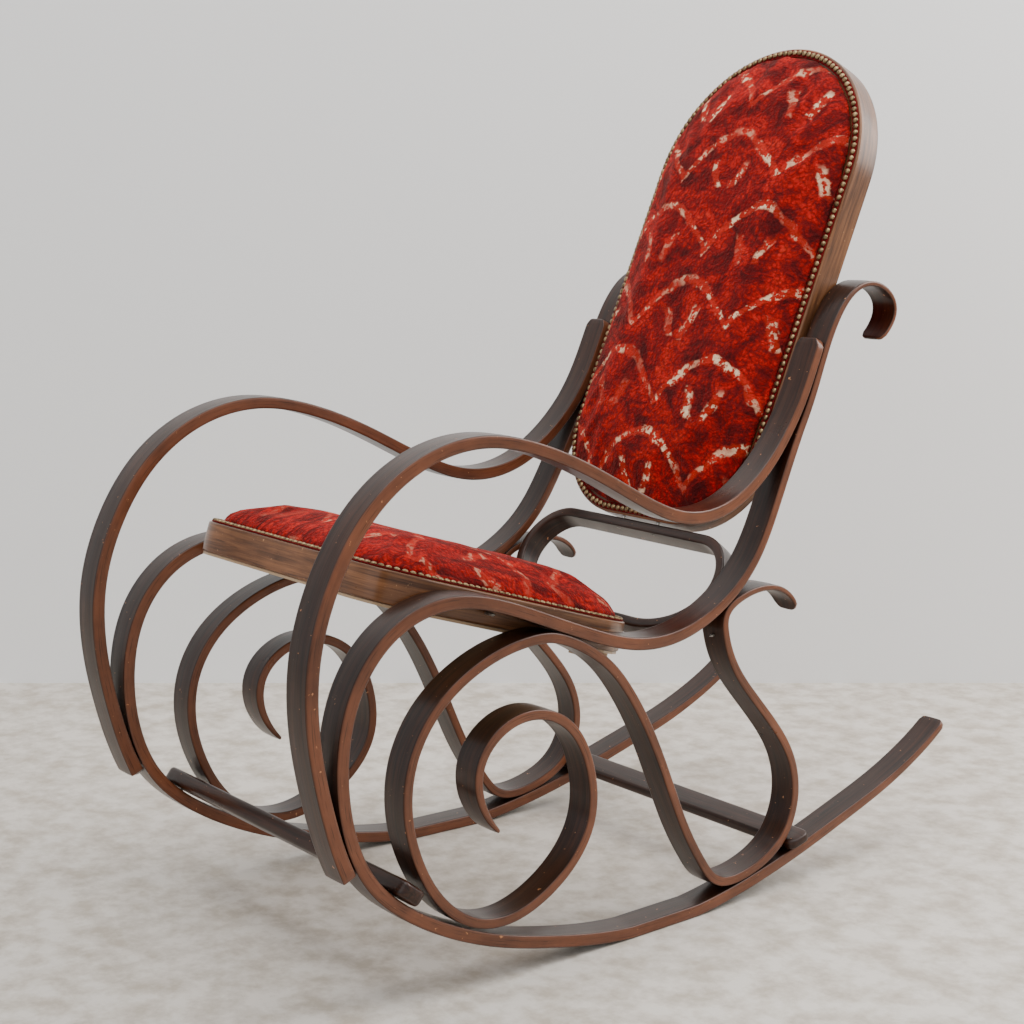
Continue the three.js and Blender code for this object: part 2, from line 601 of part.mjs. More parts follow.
addDrilled('back_hoop',
  slab(backOutline(0), backOutline(HOOP_WALL), -BACK_DEPTH, 0, backFrame), hoopWood);
addMesh('back_board', slab(backOutline(HOOP_WALL + JOINT_GAP), null,
  -BOARD_DEPTH - BOARD_THICKNESS, -BOARD_DEPTH, backFrame), boardWood);
addMesh('back_padding', slab(backOutline(HOOP_WALL + JOINT_GAP), null,
  -BOARD_DEPTH + JOINT_GAP, 0, backFrame), boardWood);
addMesh('back_rear_panel', slab(backOutline(HOOP_WALL + JOINT_GAP), null,
  -BACK_DEPTH + PANEL_INSET, -BACK_DEPTH + PANEL_INSET + PANEL_THICKNESS, backFrame), velvet);
addMesh('back_nail_strip', slab(backOutline(TRIM_INSET), backOutline(TRIM_INSET + TRIM_WIDTH),
  JOINT_GAP, JOINT_GAP + TRIM_HEIGHT, backFrame), bronze);
addMesh('back_cushion', crownedPad(backOutline(CUSHION_INSET), BACK_HEIGHT * BACK_PAD_MIDDLE,
  BACK_CROWN, JOINT_GAP, backFrame), velvet);

addDrilled('lumbar_loop',
  slab(lumbarOutline(0), lumbarOutline(LUMBAR_WALL), -LUMBAR_DEPTH, 0, lumbarFrame), wood);

for (const [hand, side] of SIDES) {
  const block = new THREE.BoxGeometry(...BLOCK_SIZE);
  const low = panelTop - PANEL_THICKNESS - JOINT_GAP - BLOCK_SIZE[2] / 2;
  block.translate(side * BLOCK_AT[0], BLOCK_AT[1], low);
  block.applyMatrix4(seatFrame);
  addMesh(`${hand}_seat_block`, block, boardWood);
}

for (const screw of screws) {
  addMesh(screw.name, screwShape(screw.from, screw.direction, screw.length, 0), steel);
}

export default chair;
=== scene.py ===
# %% Start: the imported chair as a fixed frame
import math
import bmesh
import bpy
from mathutils import Matrix, Vector, noise


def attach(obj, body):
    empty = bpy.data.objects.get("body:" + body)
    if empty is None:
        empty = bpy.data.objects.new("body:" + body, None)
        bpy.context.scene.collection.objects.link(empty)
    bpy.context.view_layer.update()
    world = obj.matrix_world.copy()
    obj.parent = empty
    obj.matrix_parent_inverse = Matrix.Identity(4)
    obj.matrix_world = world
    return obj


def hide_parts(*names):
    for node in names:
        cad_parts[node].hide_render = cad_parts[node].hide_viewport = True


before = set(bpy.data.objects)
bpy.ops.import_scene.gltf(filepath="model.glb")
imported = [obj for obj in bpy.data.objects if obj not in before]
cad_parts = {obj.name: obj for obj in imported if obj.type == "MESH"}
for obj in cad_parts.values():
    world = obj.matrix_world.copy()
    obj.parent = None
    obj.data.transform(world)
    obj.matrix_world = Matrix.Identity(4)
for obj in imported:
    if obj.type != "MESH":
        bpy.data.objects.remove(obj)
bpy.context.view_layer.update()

# %% [markdown]
# The chair is steam-bent beech. Each side is three long laths: a rail that is runner, seat rail
# and back post in one, an arm, and a scroll. A lath is best made straight and then bent, as the
# maker does it, because the grain then follows every curve by itself. The line that a lath is
# bent along is a smooth curve through a short list of guiding places, in millimetres, as
# (along the chair, up, share of the full thickness).

# %% Sizes, in millimetres
FRAME_SPACING = 425
FRAME_TAPER = 0.0316
POST_LEAN = 0.05
LATH_WIDTH = 37
RAIL_THICK = 15
ARM_THICK = 16
SCROLL_THICK = 12
STAND_OFF = 0.55
WALL = 20


def ease(share):
    share = min(1, max(0, share))
    return share * share * (3 - 2 * share)


def half_spacing(y, z):
    lean = POST_LEAN * (min(max(z, 330), 560) - 330)
    return FRAME_SPACING / 2 - FRAME_TAPER * y - lean * ease((y + 120) / 280)


def spline_place(rows, t):
    """A clamped cubic curve through guiding rows, by repeated halfway mixing of four of them."""
    spans = len(rows) - 3
    x = min(t * spans, spans - 1e-9)
    first = int(x)
    knot = lambda i: min(max(i - 3, 0), spans)
    mix = [Vector(rows[first + i]) for i in range(4)]
    for level in range(1, 4):
        for i in range(3, level - 1, -1):
            low, high = knot(first + i), knot(first + i + 4 - level)
            share = (x - low) / (high - low)
            mix[i] = mix[i - 1] * (1 - share) + mix[i] * share
    return mix[3]


def lath_place(rows, thick, t):
    """(place, half thickness, run, left) of a lath at t from 0 to 1, in its side frame."""
    here = spline_place(rows, t)
    step = spline_place(rows, min(t + 5e-4, 1)) - spline_place(rows, max(t - 5e-4, 0))
    run = Vector((step.x, step.y)).normalized()
    return Vector((here.x, here.y)), here.z * thick / 2, run, Vector((-run.y, run.x))


RAIL_ROWS = [
    (490, 153, 0.6), (472, 139, 0.67), (429, 115, 0.73), (367, 89, 0.87), (299, 68, 0.93),
    (232, 47, 1), (165, 29, 1), (96, 14, 1), (26, 4.8, 1), (-44, 5.2, 1), (-114, 12, 1),
    (-183, 27, 1), (-251, 44, 1), (-315, 69, 1), (-378, 104, 1),
    (-431, 150, 1), (-456, 215, 1), (-461, 287, 1), (-444, 357, 1), (-397, 410, 1),
    (-329, 431, 1), (-259, 416, 1), (-194, 389, 1), (-130, 363, 1), (-63, 339, 1), (7, 338, 1),
    (76, 364, 0.87), (133, 408, 0.8), (167, 471, 0.8), (198, 535, 0.8), (232, 594, 0.73),
    (256, 666, 0.67),
    (299, 729, 0.47), (364, 727, 0.4), (391, 685, 0.4), (353, 657, 0.33)]


def lean_on(t, side, thick, share, more):
    """A guiding row that keeps a lath just clear of the rail: side 1 is its left, -1 its right."""
    place, half, run, left = lath_place(RAIL_ROWS, RAIL_THICK, t)
    place = place + left * side * (half + thick * share / 2 + STAND_OFF + more)
    return (place.x, place.y, share)


def on_arm(t, share, more):
    return lean_on(t, 1, ARM_THICK, share, more)


def on_scroll(t, share, more):
    return lean_on(t, -1, SCROLL_THICK, share, more)


ARM_ROWS = [
    on_arm(0.432, 1.05, 0.6), on_arm(0.444, 1, 1.8), on_arm(0.463, 1, 5),
    (-494, 311, 1), (-494, 391, 1), (-468, 466, 1), (-424, 532, 1), (-358, 577, 0.94),
    (-279, 592, 0.88), (-202, 574, 0.88), (-129, 543, 0.88), (-59, 504, 0.88), (16, 468, 1),
    (96, 475, 0.94), (166, 523, 0.8),
    on_arm(0.872, 0.8, -1.4), on_arm(0.891, 0.8, 0.2), on_arm(0.906, 0.8, 0)]
SCROLL_ROWS = [
    (-257, 168, 0.33), (-268, 177, 0.6), (-289, 207, 0.9), (-287, 257, 1), (-242, 291, 1),
    (-186, 289, 1), (-144, 256, 1), (-124, 202, 1), (-124, 149, 1), (-156, 105, 1),
    (-207, 75, 1), (-256, 65, 1), on_scroll(0.361, 1, -2.6),
    (-345, 116, 1), (-370, 165, 1), (-382, 217, 1), (-375, 269, 1), (-347, 314, 1),
    (-305, 345, 1), (-256, 365, 1),
    (-204, 372, 1), on_scroll(0.65, 1, -3), (-108, 334, 1),
    (-73, 293, 1), (-45, 249, 1), (-22, 202, 1), (-2, 155, 1), (19, 107, 1), (47, 62, 1),
    on_scroll(0.19, 1, -1.8), (151, 38, 1),
    (193, 66, 1), (210, 117, 1), (196, 169, 1), (163, 211, 1), (129, 248, 1), (92, 290, 0.92),
    (74, 343, 0.85), on_scroll(0.762, 0.75, -6.8), (164, 386, 0.6), (198, 359, 0.5),
    (202, 342, 0.42)]
print("guiding rows:", len(RAIL_ROWS), "rail,", len(ARM_ROWS), "arm,", len(SCROLL_ROWS), "scroll")

# %% [markdown]
# Every lath, stretcher and hoop starts as the same thing: a rounded rectangle, extruded straight
# in many short steps. Two values are stored on its points before it is bent. "lath" is the
# point's place on the straight wood, which the grain is drawn on. "edge" is 1 along the worn
# corners and 0 in the middle of a face.

# %% A straight bar of many short steps
WEAR_REACH = 4.5
CORNER_STEPS = 3
FACE_CUTS = 3


def corner_share(x, y, width, thick):
    inwards = (width / 2 - abs(x)) + (thick / 2 - abs(y))
    return max(0, 1 - inwards / WEAR_REACH)


def crowned(x, y, width, crown):
    """A wide face is full in the middle and falls by crown towards its edges."""
    return y - math.copysign(crown * (2 * x / width) ** 2, y)


def straight_bar(width, thick, steps, round_by, crown):
    """A rounded rectangle extruded upwards, one unit for each step."""
    bm = bmesh.new()
    bmesh.ops.create_grid(bm, x_segments=1, y_segments=1, size=0.5)
    bmesh.ops.scale(bm, vec=(width, thick, 1), verts=bm.verts)
    bmesh.ops.bevel(bm, geom=bm.verts[:], offset=round_by, offset_type="OFFSET",
                    segments=CORNER_STEPS, profile=0.5, affect="VERTICES", material=-1)
    long_edges = [e for e in bm.edges if e.calc_length() > 2.5 * round_by]
    bmesh.ops.subdivide_edges(bm, edges=long_edges, cuts=FACE_CUTS)
    bmesh.ops.dissolve_faces(bm, faces=bm.faces[:], use_verts=False)
    for v in bm.verts:
        if abs(v.co.y) > thick / 2 - 1e-4:
            v.co.y = crowned(v.co.x, v.co.y, width, crown)
    face = bm.faces[:][0]
    for step in range(steps):
        new = bmesh.ops.extrude_face_region(bm, geom=[face])["geom"]
        if step > 0:
            bmesh.ops.delete(bm, geom=[face], context="FACES_ONLY")
        face = next(g for g in new if isinstance(g, bmesh.types.BMFace))
        bmesh.ops.translate(bm, verts=face.verts[:], vec=(0, 0, 1))
    return bm


def bend(bm, stations, width, thick, closed=False):
    """Lays a bar's steps on stations: (place, across, out, half thickness, width, along)."""
    straight = bm.verts.layers.float_vector.new("lath")
    edge = bm.verts.layers.float.new("edge")
    for v in bm.verts:
        place, across, out, half, wide, along = stations[round(v.co.z)]
        x, y = v.co.x, v.co.y
        v[straight] = Vector((along, x, y)) / 1000
        v[edge] = corner_share(x, y, width, thick)
        rise = math.copysign(max(abs(y) - thick / 2 + half, 0.1 * abs(y)), y)
        v.co = (place + across * x * wide / width + out * rise) / 1000
    if closed:
        caps = [f for f in bm.faces if len(f.verts) > 4]
        rings = [list(f.edges) for f in caps]
        bmesh.ops.delete(bm, geom=caps, context="FACES_ONLY")
        bmesh.ops.bridge_loops(bm, edges=rings[0] + rings[1])
    bmesh.ops.recalc_face_normals(bm, faces=bm.faces)


def finished(bm, name, replaced, material):
    """Makes the object, smooth, riding with the chair and standing for its CAD pieces."""
    mesh = bpy.data.meshes.new(name)
    bm.to_mesh(mesh)
    bm.free()
    mesh.polygons.foreach_set("use_smooth", [True] * len(mesh.polygons))
    piece = bpy.data.objects.new(name, mesh)
    bpy.context.collection.objects.link(piece)
    mesh.materials.append(material)
    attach(piece, "root")
    if replaced:
        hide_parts(*replaced)
    print(name, len(mesh.polygons), "faces")
    return piece


print("corners of a bar:", CORNER_STEPS, "steps each, worn over", WEAR_REACH, "mm")

# %% [markdown]
# The stain is a dark walnut brown with a soft shine. Streaks run along the grain, and corners that
# hands and feet rub have lost the stain in broken patches. The flat sides of the laths are painted
# a little redder and paler than the bent faces, a painted reflection of the bright room.

# %% Wood finishes
def nodes_of(name):
    material = bpy.data.materials.new(name)
    material.use_nodes = True
    tree = material.node_tree
    return material, tree, tree.nodes["Principled BSDF"]


def add(tree, kind, inputs=None, **settings):
    node = tree.nodes.new(kind)
    for key, value in settings.items():
        setattr(node, key, value)
    for key, value in (inputs or {}).items():
        if isinstance(value, bpy.types.NodeSocket):
            tree.links.new(value, node.inputs[key])
        else:
            node.inputs[key].default_value = value
    return node


def ramp(tree, value, stops):
    node = add(tree, "ShaderNodeValToRGB", {"Fac": value})
    elements = node.color_ramp.elements
    while len(elements) < len(stops):
        elements.new(0.5)
    for element, (place, colour) in zip(elements, stops):
        element.position = place
        element.color = (*colour, 1) if isinstance(colour, tuple) else (colour, colour, colour, 1)
    return node.outputs["Color"]


def mix(tree, share, first, second, blend="MIX"):
    node = add(tree, "ShaderNodeMix", data_type="RGBA", blend_type=blend)
    for index, value in ((0, share), (6, first), (7, second)):
        socket = node.inputs[index]
        if isinstance(value, bpy.types.NodeSocket):
            tree.links.new(value, socket)
        else:
            socket.default_value = (*value, 1) if isinstance(value, tuple) else value
    return node.outputs[2]


def sums(tree, operation, *values):
    node = add(tree, "ShaderNodeMath", dict(enumerate(values)), operation=operation)
    return node.outputs[0]


def grown(tree, vector, scale, detail=4, rough=0.55, distortion=0.0):
    node = add(tree, "ShaderNodeTexNoise", {"Vector": vector, "Scale": scale, "Detail": detail,
                                            "Roughness": rough, "Distortion": distortion})
    return node.outputs["Fac"]


def stained_wood(name, dark, mid, side, worn, wear):
    material, tree, skin = nodes_of(name)
    lath = add(tree, "ShaderNodeAttribute", attribute_name="lath").outputs["Vector"]
    edge = add(tree, "ShaderNodeAttribute", attribute_name="edge").outputs["Fac"]
    place = add(tree, "ShaderNodeTexCoord").outputs["Object"]
    stretched = add(tree, "ShaderNodeMapping", {"Vector": lath, "Scale": (9, 190, 190)}).outputs[0]
    fine = add(tree, "ShaderNodeMapping", {"Vector": lath, "Scale": (30, 900, 900)}).outputs[0]
    streaks = grown(tree, stretched, 1, 5, 0.6, 0.6)
    pores = grown(tree, fine, 1, 2, 0.5)
    blotch = grown(tree, place, 9, 5, 0.65)
    colour = ramp(tree, streaks, [(0.3, dark), (0.72, mid)])
    # Painted sheen: the narrow flat sides of each piece get the side colour, paler and redder, a
    # painted reflection of the bright room rather than a stain.
    aside = sums(tree, "ABSOLUTE", add(tree, "ShaderNodeSeparateXYZ", {0: lath}).outputs[1])
    flat_side_sheen = ramp(tree, sums(tree, "MULTIPLY", aside, 50), [(0.86, 0.0), (0.93, 1.0)])
    flat_side_sheen = mix(tree, 0.5, flat_side_sheen, sums(tree, "MULTIPLY", flat_side_sheen, streaks), "MIX")
    colour = mix(tree, flat_side_sheen, colour, side)
    colour = mix(tree, ramp(tree, blotch, [(0.35, 0.0), (0.7, 0.55)]), colour, dark)
    colour = mix(tree, ramp(tree, pores, [(0.3, 0.5), (0.42, 0.0)]), colour, (0.006, 0.003, 0.002))
    ragged = sums(tree, "ADD", edge, sums(tree, "MULTIPLY", grown(tree, place, 75, 6, 0.7), 0.9))
    rubbed = ramp(tree, ragged, [(wear, 0.0), (wear + 0.12, 1.0)])
    chips = ramp(tree, grown(tree, place, 160, 3, 0.6), [(0.7, 0.0), (0.74, 0.7)])
    colour = mix(tree, rubbed, colour, worn)
    colour = mix(tree, chips, colour, worn)
    tree.links.new(colour, skin.inputs["Base Color"])
    shine = sums(tree, "MULTIPLY_ADD", blotch, 0.24, 0.2)
    tree.links.new(sums(tree, "MULTIPLY_ADD", rubbed, 0.25, shine), skin.inputs["Roughness"])
    skin.inputs["Specular IOR Level"].default_value = 0.3
    skin.inputs["Coat Weight"].default_value = 0.12
    skin.inputs["Coat Roughness"].default_value = 0.18
    relief = sums(tree, "ADD", sums(tree, "MULTIPLY", streaks, 0.6), pores)
    bump = add(tree, "ShaderNodeBump", {"Strength": 0.22, "Distance": 0.0004, "Height": relief})
    tree.links.new(bump.outputs[0], skin.inputs["Normal"])
    return material


# The fourth colour of each finish is the painted sheen on its flat sides.
bent_wood = stained_wood("walnut_stained_beech", (0.006, 0.002, 0.001), (0.055, 0.017, 0.007),
                         (0.24, 0.08, 0.036), (0.6, 0.26, 0.11), 1.12)
hoop_wood = stained_wood("worn_hoop_beech", (0.05, 0.018, 0.007), (0.3, 0.125, 0.05),
                         (0.13, 0.05, 0.022), (0.6, 0.32, 0.15), 1.1)
plain_wood = stained_wood("bare_beech", (0.32, 0.2, 0.11), (0.55, 0.4, 0.25),
                          (0.5, 0.36, 0.22), (0.6, 0.45, 0.3), 1.6)
print("wood finishes:", bent_wood.name, hoop_wood.name, plain_wood.name)

# %% [markdown]
# The three laths of each side are bent along their lines. A station stands every few
# millimetres, and closer at the ends, where the wood is cut round.

# %% Rails, arms and scrolls
STEP = 6.0
END_PLACES = (0, 0.35, 1.2, 2.6)
END_THINNING = 0.4
FINE = 1200
LATH_EDGE = 2.4
LATH_CROWN = 0.5


def fullness(share):
    """The share of full size left at a share of the way into a rounded end."""
    return math.sqrt(1 - (1 - share) ** 2)


def walk_lath(rows, thick):
    """The distance from a lath's start at each of many fine steps along it."""
    walk, along, last = [], 0, None
    for i in range(FINE + 1):
        spot = lath_place(rows, thick, i / FINE)[0]
        along += (spot - last).length if last else 0
        last = spot
        walk.append(along)
    return walk


def lath_stations(rows, thick, side, start_round, end_round):
    walk = walk_lath(rows, thick)
    length = walk[-1]
    steps = round((length - 2 * END_PLACES[-1]) / STEP)
    inner = [END_PLACES[-1] + (length - 2 * END_PLACES[-1]) * i / steps for i in range(steps + 1)]
    places = [*END_PLACES[:-1], *inner, *(length - d for d in END_PLACES[-2::-1])]
    stations, at = [], 1
    for distance in places:
        while at < FINE and walk[at] < distance:
            at += 1
        share = (distance - walk[at - 1]) / (walk[at] - walk[at - 1])
        spot, half, run, left = lath_place(rows, thick, (at - 1 + share) / FINE)
        left_over = length - distance
        wide = LATH_WIDTH
        for gone, radius in ((distance, start_round), (left_over, end_round)):
            if gone < radius:
                wide -= 2 * radius * (1 - fullness(gone / radius))
        soft = min(1, min(distance, left_over) / END_PLACES[-1])
        half *= 1 - END_THINNING * (1 - fullness(soft))
        place = Vector((side * half_spacing(spot.x, spot.y), spot.x, max(spot.y, half)))
        across, out = Vector((1, 0, 0)), Vector((0, left.x, left.y))
        stations.append((place, across, out, half, wide, distance))
    return stations


# Each row: word, CAD piece, guiding rows, thickness, and how far its two ends are rounded.
LATHS = (("rail", "side_rail", RAIL_ROWS, RAIL_THICK, 9, 9),
         ("arm", "arm", ARM_ROWS, ARM_THICK, 5, 12),
         ("scroll", "scroll", SCROLL_ROWS, SCROLL_THICK, 6, 13))
for hand, side in (("left", 1), ("right", -1)):
    for word, node, rows, thick, start_round, end_round in LATHS:
        stations = lath_stations(rows, thick, side, start_round, end_round)
        bar = straight_bar(LATH_WIDTH, thick, len(stations) - 1, LATH_EDGE, LATH_CROWN)
        bend(bar, stations, LATH_WIDTH, thick)
        finished(bar, f"{hand}_{word}_lath", [f"{hand}_{node}"], bent_wood)

# %% [markdown]
# Two flat bars tie the side frames together. They lie on the inner face of the rails and stick
# out a little past them, with ends worked to a soft dome.

# %% Stretchers
STRETCHER_WIDTH = 34.0
STRETCHER_STAND_OFF = 1.7
STRETCHER_OVERHANG = 9.0
STRETCHER_EDGE = 4.5
STRETCHER_CROWN = 0.4
DOME = (0, 0.5, 1.5, 3, 5, 8, 12)
BODY_STEPS = 24


def stretcher(name, node, t, thick):
    spot, half, run, left = lath_place(RAIL_ROWS, RAIL_THICK, t)
    middle = spot - left * (half + thick / 2 + STRETCHER_STAND_OFF)
    length = 2 * (half_spacing(middle.x, middle.y) + LATH_WIDTH / 2 + STRETCHER_OVERHANG)
    body = length - 2 * DOME[-1]
    inner = [DOME[-1] + body * i / BODY_STEPS for i in range(1, BODY_STEPS)]
    places = [*DOME, *inner, *(length - d for d in reversed(DOME))]
    stations = []
    for distance in places:
        gone = min(1, min(distance, length - distance) / DOME[-1])
        share = 0.5 + 0.5 * fullness(gone)
        place = Vector((distance - length / 2, middle.x, middle.y))
        across, out = Vector((0, run.x, run.y)), Vector((0, left.x, left.y))
        stations.append((place, across, out, thick / 2 * share, STRETCHER_WIDTH * share, distance))
    steps = len(stations) - 1
    bar = straight_bar(STRETCHER_WIDTH, thick, steps, STRETCHER_EDGE, STRETCHER_CROWN)
    bend(bar, stations, STRETCHER_WIDTH, thick)
    return finished(bar, name, [node], bent_wood)


stretcher("front_stretcher_bar", "front_stretcher", 0.402, 19)
stretcher("rear_stretcher_bar", "rear_stretcher", 0.1305, 14)

# %% [markdown]
# The seat, the back and the open loop under the back are hoops: each is a flat strip bent round
# until its ends meet. A hoop is drawn as half an outline in its own tilted plane and mirrored.

# %% Hoop outlines
SEAT_TILT = math.radians(17.5)
SEAT_FRONT_Y, SEAT_FRONT_TOP = -376, 461
SEAT_CORNER = 62
SEAT_SIDE_END = 276
SEAT_REAR_ROUND = 170
BACK_TILT = math.radians(24.2)
BACK_FOOT_Y, BACK_FOOT_Z = 172, 417
BACK_FIXING = (309.7, 723.5)
BACK_HEIGHT = 639
BACK_FOOT_ROUND = 120
HOOP_DEPTH = 35
HOOP_EDGE = 2.6
HOOP_STEP = 7
LOOP_TILT = math.radians(38.7)
LOOP_TOP = (143, 427.5)
LOOP_HEIGHT = 138
LOOP_TOP_ROUND = 62
LOOP_FOOT_ROUND = 104
LOOP_WALL, LOOP_DEPTH = 13, 30


def plane(y, z, along, up):
    return Matrix(((1, 0, 0, 0), (0, along[0], up[0], y), (0, along[1], up[1], z), (0, 0, 0, 1)))


def leaning(y, z, tilt):
    return plane(y, z, (math.sin(tilt), math.cos(tilt)), (-math.cos(tilt), math.sin(tilt)))


seat_plane = plane(SEAT_FRONT_Y, SEAT_FRONT_TOP, (math.cos(SEAT_TILT), -math.sin(SEAT_TILT)),
                   (math.sin(SEAT_TILT), math.cos(SEAT_TILT)))
back_plane = leaning(BACK_FOOT_Y - HOOP_DEPTH * math.cos(BACK_TILT),
                     BACK_FOOT_Z + HOOP_DEPTH * math.sin(BACK_TILT), BACK_TILT)
loop_plane = leaning(*LOOP_TOP, LOOP_TILT)


def free_half(y, z):
    """Half the width that the side frames leave between them."""
    return half_spacing(y, z) - LATH_WIDTH / 2 - STAND_OFF


def seat_half(along):
    return free_half(SEAT_FRONT_Y + along * math.cos(SEAT_TILT),
                     SEAT_FRONT_TOP - along * math.sin(SEAT_TILT))


BACK_HALF = free_half(*BACK_FIXING)
LOOP_HALF = free_half(*LOOP_TOP)


def arc(x, y, rx, ry, start, end, count=40):
    turns = [math.radians(start + (end - start) * i / count) for i in range(count + 1)]
    return [(x + rx * math.cos(a), y + ry * math.sin(a)) for a in turns]


def seat_outline(inset):
    r = SEAT_CORNER - inset
    rear_half = seat_half(SEAT_SIDE_END) - inset
    return ([(0, inset)] + arc(seat_half(SEAT_CORNER) - inset - r, SEAT_CORNER, r, r, -90, 0)
            + arc(0, SEAT_SIDE_END, rear_half, SEAT_REAR_ROUND - inset, 0, 90, 80))


def back_outline(inset):
    r, half = BACK_FOOT_ROUND - inset, BACK_HALF - inset
    return ([(0, inset)] + arc(half - r, BACK_FOOT_ROUND, r, r, -90, 0)
            + arc(0, BACK_HEIGHT - BACK_HALF, half, half, 0, 90, 80))


def loop_outline(inset):
    r, foot, half = LOOP_TOP_ROUND - inset, LOOP_FOOT_ROUND - inset, LOOP_HALF - inset
    rise = foot * (LOOP_HEIGHT - LOOP_TOP_ROUND) / LOOP_FOOT_ROUND
    low = inset - LOOP_HEIGHT
    return ([(0, low)] + arc(half - foot, low + rise, foot, rise, -90, 0)
            + arc(half - r, -LOOP_TOP_ROUND, r, r, 0, 90) + [(0, -inset)])


def even_ring(half_outline, spacing):
    """Equal steps round the whole outline: (x, along, outward x, outward along, distance)."""
    ring = half_outline + [(-x, y) for x, y in reversed(half_outline[1:-1])]
    ring = [Vector(p) for p in ring] + [Vector(ring[0])]
    lengths = [(b - a).length for a, b in zip(ring, ring[1:])]
    total = sum(lengths)
    count = round(total / spacing)
    spots, at, passed = [], 0, 0.0
    for i in range(count):
        target = total * i / count
        while passed + lengths[at] < target:
            passed += lengths[at]
            at += 1
        spots.append(ring[at].lerp(ring[at + 1], (target - passed) / lengths[at]))
    result = []
    for i, spot in enumerate(spots):
        run = (spots[(i + 1) % count] - spots[i - 1]).normalized()
        result.append((spot.x, spot.y, run.y, -run.x, total * i / count))
    return result, total


def hoop(name, outline, frame_plane, wall, depth, low, round_by, replaced, material):
    """A closed strip: its depth stands across the plane from low up, its wall lies in it."""
    ring, total = even_ring(outline(wall / 2), HOOP_STEP)
    turn = frame_plane.to_3x3()
    up = turn @ Vector((0, 0, 1))
    stations = []
    for x, along, nx, ny, distance in ring:
        place = frame_plane @ Vector((x, along, low + depth / 2))
        out = turn @ Vector((nx, ny, 0))
        stations.append((place, up, out, wall / 2, depth, abs(distance - total / 2)))
    bar = straight_bar(depth, wall, len(stations) - 1, round_by, LATH_CROWN)
    bend(bar, stations, depth, wall, closed=True)
    return finished(bar, name, replaced, material)


hoop("seat_frame", seat_outline, seat_plane, WALL, HOOP_DEPTH, -HOOP_DEPTH,
     HOOP_EDGE, ["seat_hoop"], hoop_wood)
hoop("back_frame", back_outline, back_plane, WALL, HOOP_DEPTH, -HOOP_DEPTH,
     HOOP_EDGE, ["back_hoop"], hoop_wood)
hoop("loop_between_posts", loop_outline, loop_plane, LOOP_WALL, LOOP_DEPTH,
     -LOOP_DEPTH, HOOP_EDGE, ["lumbar_loop"], bent_wood)

# %% [markdown]
# The velvet is crimson with a deep pile. It lies darker in broken patches, and cream threads are
# brushed over it in a faded pattern: rows of pointed arches, each row half an arch aside from the
# last, and pairs of short slanting marks between them. The pattern is drawn on the cloth's own
# plane, so "cloth" keeps each point's place there, in metres from the middle of the seat or back.

# %% Velvet
def banded(tree, value, middle, half):
    """1 where value is within half of middle, soft at the edges."""
    away = sums(tree, "ABSOLUTE", sums(tree, "SUBTRACT", value, middle))
    return ramp(tree, sums(tree, "DIVIDE", away, half), [(0.55, 1.0), (1.0, 0.0)])


def arches(tree, x, y, wide, tall):
    """Rows of pointed arches, each row half an arch aside."""
    row = sums(tree, "DIVIDE", y, tall)
    odd_row = sums(tree, "FLOORED_MODULO", sums(tree, "FLOOR", row), 2.0)
    aside = sums(tree, "MULTIPLY", odd_row, 0.5)
    across = sums(tree, "FRACT", sums(tree, "ADD", sums(tree, "DIVIDE", x, wide), aside))
    from_middle = sums(tree, "ABSOLUTE", sums(tree, "SUBTRACT", across, 0.5))
    off = sums(tree, "MULTIPLY", from_middle, 2.0)
    up = sums(tree, "FRACT", row)
    fall = sums(tree, "MULTIPLY", sums(tree, "POWER", off, 1.7), 0.62)
    crown = sums(tree, "SUBTRACT", 0.86, fall)
    line = banded(tree, up, crown, 0.075)
    slant = sums(tree, "ADD", 0.1, sums(tree, "MULTIPLY", up, 0.5))
    pair = banded(tree, off, slant, 0.09)
    low = ramp(tree, up, [(0.05, 0.0), (0.1, 1.0), (0.42, 1.0), (0.5, 0.0)])
    return line, sums(tree, "MULTIPLY", pair, low)


